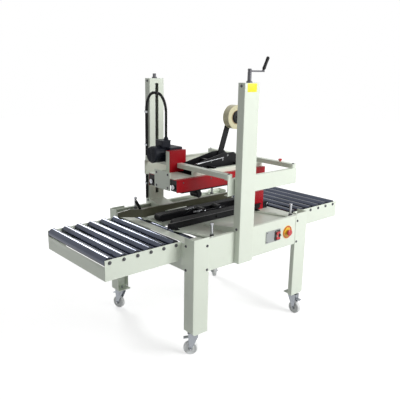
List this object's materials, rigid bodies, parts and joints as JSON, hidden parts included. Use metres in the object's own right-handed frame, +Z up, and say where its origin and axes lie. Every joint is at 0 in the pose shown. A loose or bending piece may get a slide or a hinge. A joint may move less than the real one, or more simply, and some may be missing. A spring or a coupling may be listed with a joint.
{
  "type": "carton sealer",
  "caption": "Carton sealer on braked casters: roller tables at both ends, paired belt drives above and below, and a tape head that a crank raises on columns",
  "frame": {"origin": "on the floor, under the middle of the machine's length and width", "axes": "X along the cartons' travel with the infeed at -X, -Y towards the operator's side with the controls, Z up"},
  "size_m": [1.778, 0.836, 1.5331],
  "materials": {
    "painted_cream": "satin",
    "deck_steel": "brushed",
    "zinc_roller": "zinc plated",
    "black_paint": "satin",
    "olive_paint": "satin",
    "red_paint": "semi-gloss",
    "belt_rubber": "matte",
    "polished_steel": "polished",
    "black_plastic": "matte",
    "grey_plastic": "matte",
    "red_plastic": "gloss",
    "yellow_plastic": "gloss",
    "tape_film": "satin",
    "caster_steel": "zinc plated",
    "caster_wheel": "matte"
  },
  "bodies": {
    "frame": {"legs": "painted_cream", "side_panels": "painted_cream", "end_panels": "painted_cream", "deck_plate": "deck_steel", "near_column": "painted_cream", "far_column": "painted_cream", "column_bases": "painted_cream", "table_side_plates": "painted_cream", "table_end_plates": "painted_cream", "lower_belt_frames": "black_paint", "lower_belts": "belt_rubber", "lower_tape_head": "black_paint", "end_guard": "red_paint", "guide_posts": "polished_steel", "cross_bars": "painted_cream", "control_plate": "grey_plastic", "stop_button_base": "yellow_plastic", "conduit": "black_plastic"},
    "head": {"belt_guards": "red_paint", "head_rails": "painted_cream", "upper_pulleys": "black_paint", "upper_belts": "belt_rubber", "head_side_bars": "painted_cream", "head_cross_members": "painted_cream", "carriages": "black_paint", "drive_motor": "black_paint", "gearbox": "black_paint", "chain_cover": "red_paint", "tape_head_frame": "black_paint", "roll_arm": "black_paint"},
    "front_roller_arm": {"roller_arm": "black_paint"},
    "tape_supply": {"tape_roll": "tape_film"},
    "crank": {"near_screw": "polished_steel", "crank_grip": "black_plastic"},
    "idle_screw": {"far_screw": "polished_steel"},
    "far_guide": {"far_guide_rail": "olive_paint", "guide_lever": "black_plastic"},
    "near_guide": {"near_guide_rail": "black_paint"},
    "rocker": {"rocker_switch": "red_plastic"},
    "stop": {"stop_button": "red_plastic"},
    "infeed_roller_1": {"infeed_roller_1": "zinc_roller"},
    "infeed_roller_2": {"infeed_roller_2": "zinc_roller"},
    "infeed_roller_3": {"infeed_roller_3": "zinc_roller"},
    "infeed_roller_4": {"infeed_roller_4": "zinc_roller"},
    "infeed_roller_5": {"infeed_roller_5": "zinc_roller"},
    "infeed_roller_6": {"infeed_roller_6": "zinc_roller"},
    "outfeed_roller_1": {"outfeed_roller_1": "zinc_roller"},
    "outfeed_roller_2": {"outfeed_roller_2": "zinc_roller"},
    "outfeed_roller_3": {"outfeed_roller_3": "zinc_roller"},
    "outfeed_roller_4": {"outfeed_roller_4": "zinc_roller"},
    "outfeed_roller_5": {"outfeed_roller_5": "zinc_roller"},
    "outfeed_roller_6": {"outfeed_roller_6": "zinc_roller"},
    "near_infeed_swivel": {"near_infeed_fork": "caster_steel"},
    "near_infeed_wheel_body": {"near_infeed_wheel": "caster_wheel"},
    "far_infeed_swivel": {"far_infeed_fork": "caster_steel"},
    "far_infeed_wheel_body": {"far_infeed_wheel": "caster_wheel"},
    "near_outfeed_swivel": {"near_outfeed_fork": "caster_steel"},
    "near_outfeed_wheel_body": {"near_outfeed_wheel": "caster_wheel"},
    "far_outfeed_swivel": {"far_outfeed_fork": "caster_steel"},
    "far_outfeed_wheel_body": {"far_outfeed_wheel": "caster_wheel"}
  },
  "joints": [
    {"name": "head_lift", "type": "slide", "parent": "frame", "child": "head", "axis": [0, 0, 1], "range_m": [-0.02, 0.36], "deforming": ["conduit"]},
    {"name": "crank_turn", "type": "hinge", "parent": "frame", "child": "crank", "pos_m": [-0.107, -0.394, 1.456], "axis": [0, 0, 1], "continuous": true},
    {"name": "idle_screw_turn", "type": "hinge", "parent": "frame", "child": "idle_screw", "pos_m": [-0.107, 0.394, 1.4], "axis": [0, 0, 1], "continuous": true},
    {"name": "roller_arm_swing", "type": "hinge", "parent": "head", "child": "front_roller_arm", "pos_m": [-0.138, 0, 0.862], "axis": [0, -1, 0], "range_deg": [0, 35], "stiffness_Nm_per_rad": 6, "springref_deg": -20.05},
    {"name": "tape_roll_spin", "type": "hinge", "parent": "head", "child": "tape_supply", "pos_m": [0.19, 0, 1.19], "axis": [0, 1, 0], "continuous": true},
    {"name": "far_guide_slide", "type": "slide", "parent": "frame", "child": "far_guide", "axis": [0.3381, 0.9411, 0], "range_m": [-0.045, 0.05]},
    {"name": "near_guide_slide", "type": "slide", "parent": "frame", "child": "near_guide", "axis": [0.3381, -0.9411, 0], "range_m": [0, 0.098]},
    {"name": "rocker_tilt", "type": "hinge", "parent": "frame", "child": "rocker", "pos_m": [0.178, -0.3975, 0.554], "axis": [1, 0, 0], "range_deg": [-8, 8]},
    {"name": "stop_push", "type": "slide", "parent": "frame", "child": "stop", "axis": [0, 1, 0], "range_m": [0, 0.004], "stiffness_N_per_m": 900, "springref_m": -0.003},
    {"name": "infeed_roller_1_spin", "type": "hinge", "parent": "frame", "child": "infeed_roller_1", "pos_m": [-0.864, 0, 0.607], "axis": [0, 1, 0], "continuous": true},
    {"name": "infeed_roller_2_spin", "type": "hinge", "parent": "frame", "child": "infeed_roller_2", "pos_m": [-0.7869, 0, 0.607], "axis": [0, 1, 0], "continuous": true},
    {"name": "infeed_roller_3_spin", "type": "hinge", "parent": "frame", "child": "infeed_roller_3", "pos_m": [-0.7098, 0, 0.607], "axis": [0, 1, 0], "continuous": true},
    {"name": "infeed_roller_4_spin", "type": "hinge", "parent": "frame", "child": "infeed_roller_4", "pos_m": [-0.6327, 0, 0.607], "axis": [0, 1, 0], "continuous": true},
    {"name": "infeed_roller_5_spin", "type": "hinge", "parent": "frame", "child": "infeed_roller_5", "pos_m": [-0.5556, 0, 0.607], "axis": [0, 1, 0], "continuous": true},
    {"name": "infeed_roller_6_spin", "type": "hinge", "parent": "frame", "child": "infeed_roller_6", "pos_m": [-0.4785, 0, 0.607], "axis": [0, 1, 0], "continuous": true},
    {"name": "outfeed_roller_1_spin", "type": "hinge", "parent": "frame", "child": "outfeed_roller_1", "pos_m": [0.455, 0, 0.607], "axis": [0, 1, 0], "continuous": true},
    {"name": "outfeed_roller_2_spin", "type": "hinge", "parent": "frame", "child": "outfeed_roller_2", "pos_m": [0.534, 0, 0.607], "axis": [0, 1, 0], "continuous": true},
    {"name": "outfeed_roller_3_spin", "type": "hinge", "parent": "frame", "child": "outfeed_roller_3", "pos_m": [0.613, 0, 0.607], "axis": [0, 1, 0], "continuous": true},
    {"name": "outfeed_roller_4_spin", "type": "hinge", "parent": "frame", "child": "outfeed_roller_4", "pos_m": [0.692, 0, 0.607], "axis": [0, 1, 0], "continuous": true},
    {"name": "outfeed_roller_5_spin", "type": "hinge", "parent": "frame", "child": "outfeed_roller_5", "pos_m": [0.771, 0, 0.607], "axis": [0, 1, 0], "continuous": true},
    {"name": "outfeed_roller_6_spin", "type": "hinge", "parent": "frame", "child": "outfeed_roller_6", "pos_m": [0.85, 0, 0.607], "axis": [0, 1, 0], "continuous": true},
    {"name": "near_infeed_swivel_turn", "type": "hinge", "parent": "frame", "child": "near_infeed_swivel", "pos_m": [-0.3945, -0.351, 0.131], "axis": [0, 0, 1], "continuous": true},
    {"name": "near_infeed_wheel_roll", "type": "hinge", "parent": "near_infeed_swivel", "child": "near_infeed_wheel_body", "pos_m": [-0.41442, -0.33429, 0.0375], "axis": [-0.6428, -0.766, 0], "continuous": true},
    {"name": "far_infeed_swivel_turn", "type": "hinge", "parent": "frame", "child": "far_infeed_swivel", "pos_m": [-0.3945, 0.351, 0.131], "axis": [0, 0, 1], "continuous": true},
    {"name": "far_infeed_wheel_roll", "type": "hinge", "parent": "far_infeed_swivel", "child": "far_infeed_wheel_body", "pos_m": [-0.40297, 0.37558, 0.0375], "axis": [-0.9455, -0.3256, 0], "continuous": true},
    {"name": "near_outfeed_swivel_turn", "type": "hinge", "parent": "frame", "child": "near_outfeed_swivel", "pos_m": [0.3945, -0.351, 0.131], "axis": [0, 0, 1], "continuous": true},
    {"name": "near_outfeed_wheel_roll", "type": "hinge", "parent": "near_outfeed_swivel", "child": "near_outfeed_wheel_body", "pos_m": [0.39631, -0.37694, 0.0375], "axis": [0.9976, 0.0698, 0], "continuous": true},
    {"name": "far_outfeed_swivel_turn", "type": "hinge", "parent": "frame", "child": "far_outfeed_swivel", "pos_m": [0.3945, 0.351, 0.131], "axis": [0, 0, 1], "continuous": true},
    {"name": "far_outfeed_wheel_roll", "type": "hinge", "parent": "far_outfeed_swivel", "child": "far_outfeed_wheel_body", "pos_m": [0.4075, 0.37352, 0.0375], "axis": [-0.866, 0.5, 0], "continuous": true}
  ],
  "couplings": [
    {"joint": "idle_screw_turn", "follows": "crank_turn", "ratio": 1}
  ]
}
